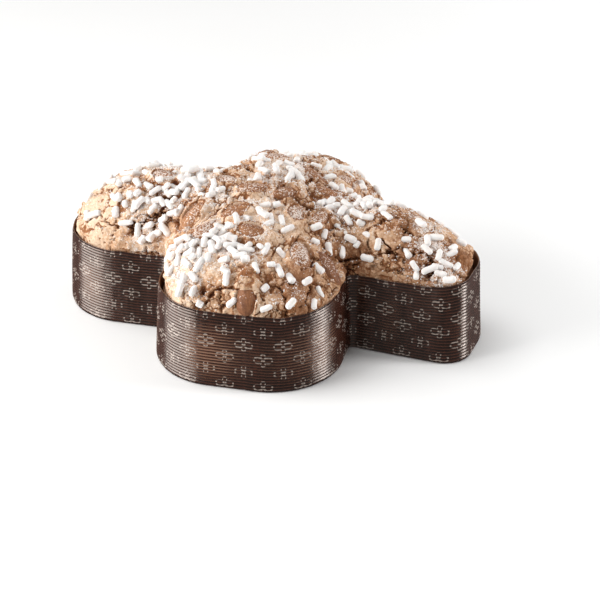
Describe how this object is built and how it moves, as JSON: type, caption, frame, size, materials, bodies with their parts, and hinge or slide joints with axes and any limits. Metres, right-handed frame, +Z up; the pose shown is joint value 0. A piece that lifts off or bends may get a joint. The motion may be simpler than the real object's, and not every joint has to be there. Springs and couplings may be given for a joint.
{
  "type": "colomba easter bread",
  "caption": "Dove-shaped sweet Easter loaf with a cracked almond glaze, whole almonds and sugar nibs, in its ribbed paper baking case.",
  "frame": {"origin": "middle of the paper case's flat underside, on the surface that it stands on", "axes": "+X from the dove's head to its tail, along the loaf; +Y across it, towards the wing behind; +Z up"},
  "size_m": [0.2754, 0.1996, 0.1003],
  "materials": {
    "crust": "baked almond glaze, cracked, dusted with powdered sugar",
    "almond": "baked almond skin, partly sugared",
    "paper": "dark brown ribbed baking paper with a soft sheen and a thin grey rosette print"
  },
  "bodies": {
    "root": {"paper_case": "paper", "bread": "crust", "almond_01": "almond", "almond_02": "almond", "almond_03": "almond", "almond_04": "almond", "almond_05": "almond", "almond_06": "almond", "almond_07": "almond", "almond_08": "almond", "almond_09": "almond", "almond_10": "almond", "almond_11": "almond", "almond_12": "almond", "almond_13": "almond", "almond_14": "almond", "almond_15": "almond", "almond_16": "almond", "almond_17": "almond", "almond_18": "almond", "almond_19": "almond", "almond_20": "almond", "almond_21": "almond", "almond_22": "almond", "almond_23": "almond"}
  },
  "joints": []
}
